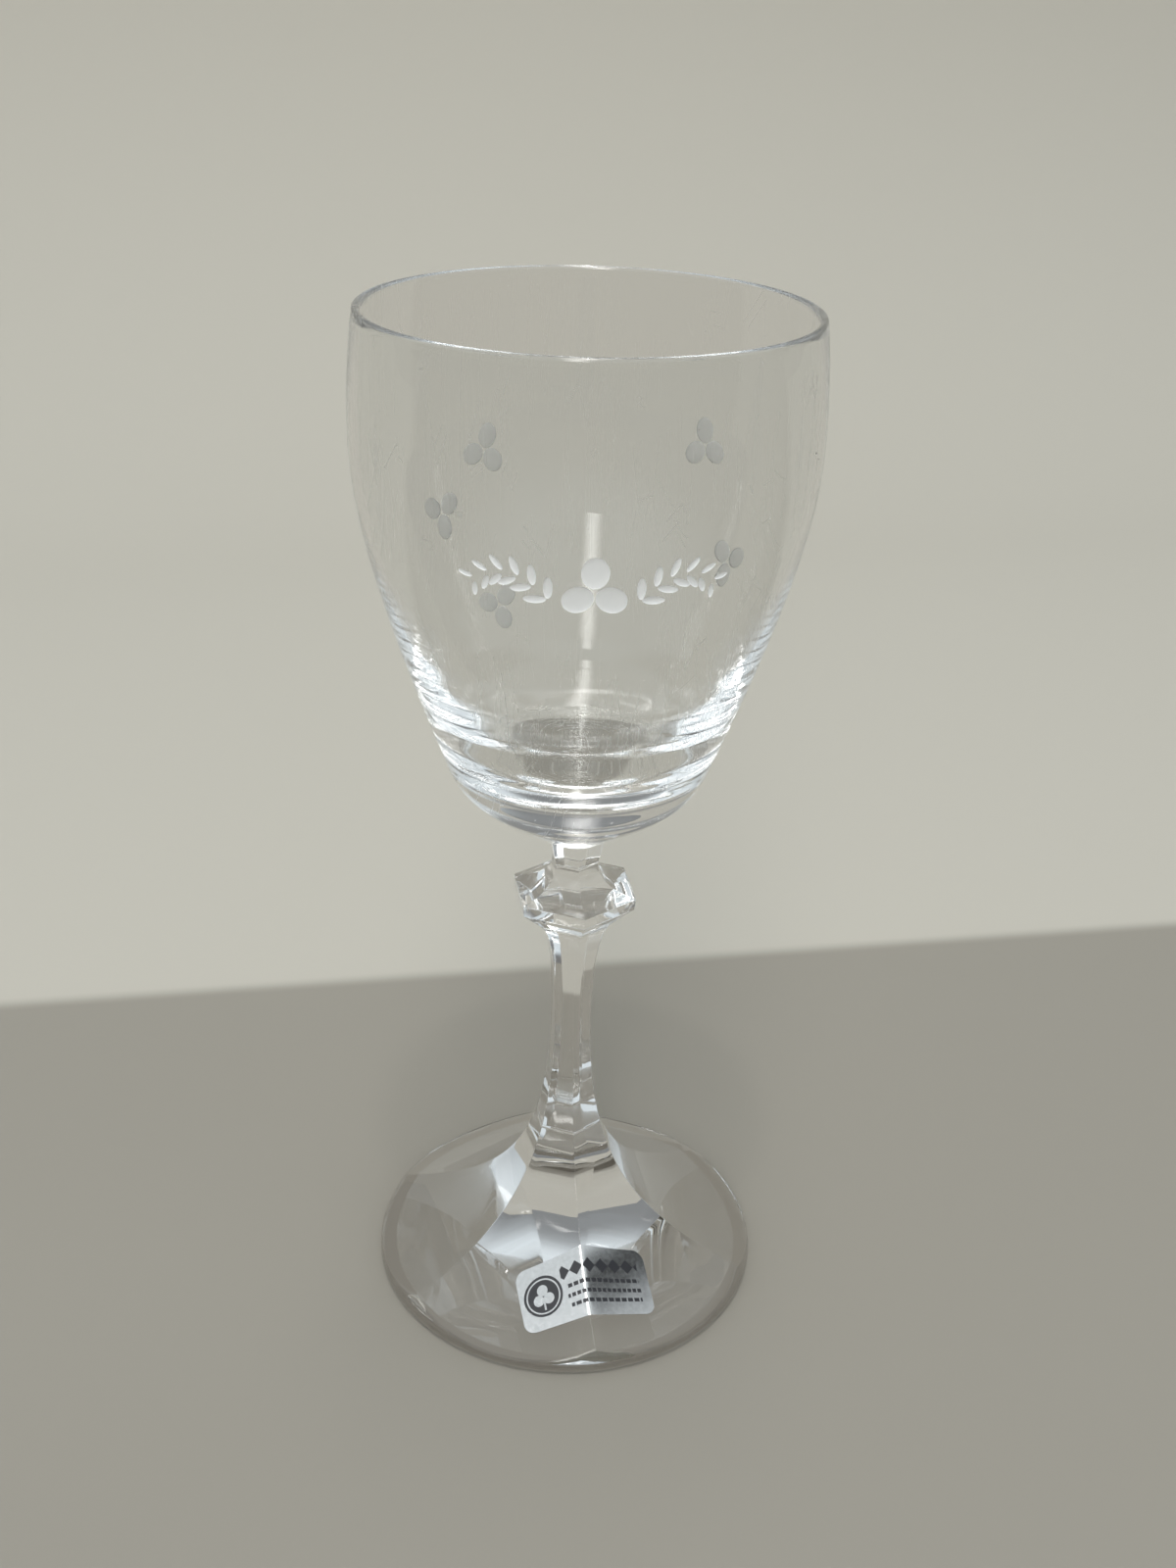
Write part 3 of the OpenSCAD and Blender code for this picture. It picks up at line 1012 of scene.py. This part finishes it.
def addSpray(bm, line, turn, height, side, look):
    # pairs of leaves along an arched line, from beside the clover outwards
    for step in range(look["leaves"]):
        share = step / (look["leaves"] - 1)
        x = look["start"] + look["step"] * step
        phase = math.pi * (look["archStart"] + look["archSpan"] * share)
        y = look["drop"] + look["arch"] * math.sin(phase)
        slope = math.degrees(math.atan2(
            look["arch"] * math.cos(phase) * math.pi * look["archSpan"],
            look["step"] * (look["leaves"] - 1),
        ))
        for branch in (-1, 1):
            angle = slope + branch * look["spread"]
            gap = look["offset"] + look["length"] * look["offsetShare"]
            offset = Vector((x, y)) + toward(angle, gap)
            if side < 0:
                offset.x, angle = -offset.x, 180 - angle
            size = 1 - look["shrink"] * share
            length, width = look["length"] * size, look["width"] * size
            addLeafAt(bm, line, turn, height, offset, angle, length, width)


def engrave(piece):
    look = engraving
    line = bowlOutside()
    bowlHeight = bowlHigh.z - bowlLow.z
    bm = bmesh.new()
    for turn, heightShare, leafTurn in look["backClovers"]:
        addClover(bm, line, turn, bowlLow.z + heightShare * bowlHeight, leafTurn, look["clover"])
    for face in bm.faces:
        face.material_index = backFrostSlot
    frontZ = bowlLow.z + look["frontHeight"] * bowlHeight
    addClover(bm, line, look["frontTurn"], frontZ, look["frontClover"]["turn"], look["frontClover"])
    for side in (-1, 1):
        addSpray(bm, line, look["frontTurn"], frontZ, side, look["spray"])
    for face in bm.faces:
        face.material_index = face.material_index or frontFrostSlot
        face.smooth = True
    mesh = bpy.data.meshes.new("cutter")
    bm.to_mesh(mesh)
    bm.free()
    for material in piece.data.materials:
        mesh.materials.append(material)
    cutter = bpy.data.objects.new("cutter", mesh)
    bpy.context.scene.collection.objects.link(cutter)
    cut = piece.modifiers.new("engrave", "BOOLEAN")
    cut.operation = "DIFFERENCE"
    cut.solver = "EXACT"
    cut.use_self = True
    cut.object = cutter
    bpy.context.view_layer.update()
    shown = piece.evaluated_get(bpy.context.evaluated_depsgraph_get())
    carved = bpy.data.meshes.new_from_object(shown)
    piece.modifiers.remove(cut)
    piece.data = carved
    bpy.data.objects.remove(cutter)
    bm = bmesh.new()
    bm.from_mesh(carved)
    for edge in bm.edges:
        if len({face.material_index for face in edge.link_faces}) > 1:
            edge.smooth = False
    bm.to_mesh(carved)
    frosted = sum(face.material_index >= frontFrostSlot for face in bm.faces)
    bm.free()
    print("engraved the bowl:", frosted, "frosted faces of", len(carved.polygons))


engrave(bowlPiece())


# Floor, backdrop and light
stageLook = {
    "wallColour": (0.51, 0.485, 0.425, 1),
    "floorColour": (0.305, 0.285, 0.245, 1),
    "roughness": 0.8,
    "shine": 0.2,
    "floorEnd": (93, 99),       # behind the glass, where the floor's tone gives way to the wall's
    "seenThroughGlass": 0.75,   # share of the floor's own colour, unshaded, in what the glass shows
    "plainLevel": 0.9,          # brightness of the unshaded share
    "backDistance": 700,
    "bendRadius": 300,
    "bendSteps": 24,
    "halfWidth": 1600,
    "frontDepth": 1600,
    "backHeight": 430,
}


def sweepPaint(look):
    # glass shows the floor partly unshaded, because its own light would reach the floor beneath it
    material, nodes, links, shader = newMaterial("sweepPaint")
    place = nodes.new("ShaderNodeTexCoord").outputs["Object"]
    parts = linked(nodes, links, "ShaderNodeSeparateXYZ", {0: place})
    behind = linked(nodes, links, "ShaderNodeMapRange", {
        "Value": parts.outputs["Y"],
        "From Min": look["floorEnd"][0] * mm, "From Max": look["floorEnd"][1] * mm,
    }, interpolation_type="SMOOTHSTEP")
    colour = linked(nodes, links, "ShaderNodeMix", {
        0: behind.outputs[0], 6: look["floorColour"], 7: look["wallColour"]}, data_type="RGBA")
    links.new(colour.outputs[2], shader.inputs["Base Color"])
    shader.inputs["Roughness"].default_value = look["roughness"]
    shader.inputs["Specular IOR Level"].default_value = look["shine"]
    throughGlass = nodes.new("ShaderNodeLightPath").outputs["Is Transmission Ray"]
    plain = nodes.new("ShaderNodeEmission")
    links.new(colour.outputs[2], plain.inputs[0])
    plain.inputs["Strength"].default_value = look["plainLevel"]
    share = calc(nodes, links, "MULTIPLY", throughGlass, look["seenThroughGlass"])
    mix = linked(nodes, links, "ShaderNodeMixShader", {
        0: share, 1: shader.outputs[0], 2: plain.outputs[0]})
    links.new(mix.outputs[0], nodes["Material Output"].inputs["Surface"])
    return material


def makeStage(look):
    bend = look["bendRadius"] * mm
    back = look["backDistance"] * mm
    line = [Vector((-look["frontDepth"] * mm, 0)), Vector((back - bend, 0))]
    line += arcLine(Vector((back - bend, bend)), bend, -90, 0, look["bendSteps"])[1:]
    line.append(Vector((back, look["backHeight"] * mm)))
    bm = bmesh.new()
    verts = [bm.verts.new((-look["halfWidth"] * mm, p.x, p.y)) for p in line]
    edges = [bm.edges.new(pair) for pair in zip(verts, verts[1:])]
    grown = bmesh.ops.extrude_edge_only(bm, edges=edges)["geom"]
    bmesh.ops.translate(
        bm, vec=(2 * look["halfWidth"] * mm, 0, 0),
        verts=[v for v in grown if isinstance(v, bmesh.types.BMVert)],
    )
    bmesh.ops.recalc_face_normals(bm, faces=bm.faces)
    for face in bm.faces:
        face.smooth = True
    mesh = bpy.data.meshes.new("sweep")
    bm.to_mesh(mesh)
    bm.free()
    mesh.materials.append(sweepPaint(look))
    sweep = bpy.data.objects.new("sweep", mesh)
    bpy.context.scene.collection.objects.link(sweep)


makeStage(stageLook)

# Lamps, with places and sizes in metres. Both point at the middle of the glass
lampAim = (0, 0, 0.09)
softPeak = 2.0    # strength of the soft lamp along its middle line
lights = {
    "key": {
        "place": (-0.18, -0.65, 1.3), "size": (0.45, 2.7), "power": 14.6,
        "colour": (1, 0.98, 0.95), "soft": True,
    },
    "sparkle": {
        "place": (-0.06, -0.30, 1.38), "size": (0.05, 0.05), "power": 1.2,
        "colour": (1, 0.99, 0.97), "soft": False,
    },
}


def softenLamp(data):
    # the lamp fades to nothing at its two long sides
    data.use_nodes = True
    nodes, links = data.node_tree.nodes, data.node_tree.links
    place = nodes.new("ShaderNodeNewGeometry").outputs["Parametric"]
    parts = linked(nodes, links, "ShaderNodeSeparateXYZ", {0: place}).outputs
    reach = calc(nodes, links, "PINGPONG", parts["X"], 0.5)
    glow = linked(nodes, links, "ShaderNodeMapRange", {
        "Value": reach, "From Max": 0.5, "To Max": softPeak}, interpolation_type="SMOOTHSTEP")
    links.new(glow.outputs[0], nodes["Emission"].inputs["Strength"])


def makeLight(name, light):
    data = bpy.data.lights.new(name, "AREA")
    data.shape = "RECTANGLE"
    data.size, data.size_y = light["size"]
    data.energy = light["power"]
    data.color = light["colour"]
    if light["soft"]:
        softenLamp(data)
    lamp = bpy.data.objects.new(name, data)
    bpy.context.scene.collection.objects.link(lamp)
    place = Vector(light["place"])
    aim = Vector(lampAim) - place
    turn = aim.to_track_quat("-Z", "Y").to_matrix().to_4x4()
    lamp.matrix_world = Matrix.Translation(place) @ turn


for name, light in lights.items():
    makeLight(name, light)

# A cool bright sky in front of the glass and a darker one behind it, which give the clear glass its
# edges. A sky's stops go from -1, straight down, to 1, straight up
skyLook = {
    "front": [
        (-0.2, (0.30, 0.29, 0.28, 1)),
        (0.02, (0.16, 0.16, 0.16, 1)),
        (0.12, (0.20, 0.205, 0.21, 1)),
        (0.26, (0.68, 0.75, 0.79, 1)),
        (1.0, (0.74, 0.79, 0.82, 1)),
    ],
    "back": [
        (-0.2, (0.30, 0.29, 0.28, 1)),
        (0.02, (0.10, 0.10, 0.10, 1)),
        (0.45, (0.20, 0.206, 0.21, 1)),
        (0.80, (0.23, 0.236, 0.24, 1)),
        (0.96, (0.45, 0.47, 0.48, 1)),
    ],
    "turn": (0.5, 0.75),         # the front gives way to the back between these shares of +Y
    "flag": (0.66, 0.0, 0.75),   # way to the middle of a dark patch high on the right
    "flagEdge": (0.95, 1.0),     # cosines between which the patch darkens
    "flagColour": (0.02, 0.02, 0.02, 1),
}


def skyRamp(nodes, links, rise, stops):
    ramp = nodes.new("ShaderNodeValToRGB")
    marks = ramp.color_ramp.elements
    while len(marks) < len(stops):
        marks.new(0.5)
    for mark, (height, colour) in zip(marks, stops):
        mark.position = (height + 1) / 2
        mark.color = colour
    links.new(rise, ramp.inputs[0])
    return ramp.outputs[0]


def makeSky(look):
    world = bpy.data.worlds.new("sky")
    world.use_nodes = True
    nodes, links = world.node_tree.nodes, world.node_tree.links
    way = nodes.new("ShaderNodeTexCoord").outputs["Generated"]
    parts = linked(nodes, links, "ShaderNodeSeparateXYZ", {0: way}).outputs
    rise = linked(nodes, links, "ShaderNodeMapRange", {
        "Value": parts["Z"], "From Min": -1.0, "From Max": 1.0}).outputs[0]
    turned = linked(nodes, links, "ShaderNodeMapRange", {
        "Value": parts["Y"], "From Min": look["turn"][0], "From Max": look["turn"][1],
    }, interpolation_type="SMOOTHSTEP")
    front, back = [skyRamp(nodes, links, rise, look[side]) for side in ("front", "back")]
    sky = linked(nodes, links, "ShaderNodeMix", {
        0: turned.outputs[0], 6: front, 7: back}, data_type="RGBA")
    near = linked(nodes, links, "ShaderNodeVectorMath", {
        0: way, 1: look["flag"]}, operation="DOT_PRODUCT")
    flag = linked(nodes, links, "ShaderNodeMapRange", {
        "Value": near.outputs["Value"],
        "From Min": look["flagEdge"][0], "From Max": look["flagEdge"][1],
    }, interpolation_type="SMOOTHSTEP")
    shaded = linked(nodes, links, "ShaderNodeMix", {
        0: flag.outputs[0], 6: sky.outputs[2], 7: look["flagColour"]}, data_type="RGBA")
    links.new(shaded.outputs[2], nodes["Background"].inputs["Color"])
    bpy.context.scene.world = world


makeSky(skyLook)
scene = bpy.context.scene
scene.view_settings.view_transform = "Standard"
# the facets keep light inside the glass for long
bounces = {
    "max_bounces": 96,
    "glossy_bounces": 96,
    "transmission_bounces": 96,
    "transparent_max_bounces": 32,
}
for name, count in bounces.items():
    setattr(scene.cycles, name, count)
print("stage and lights ready")
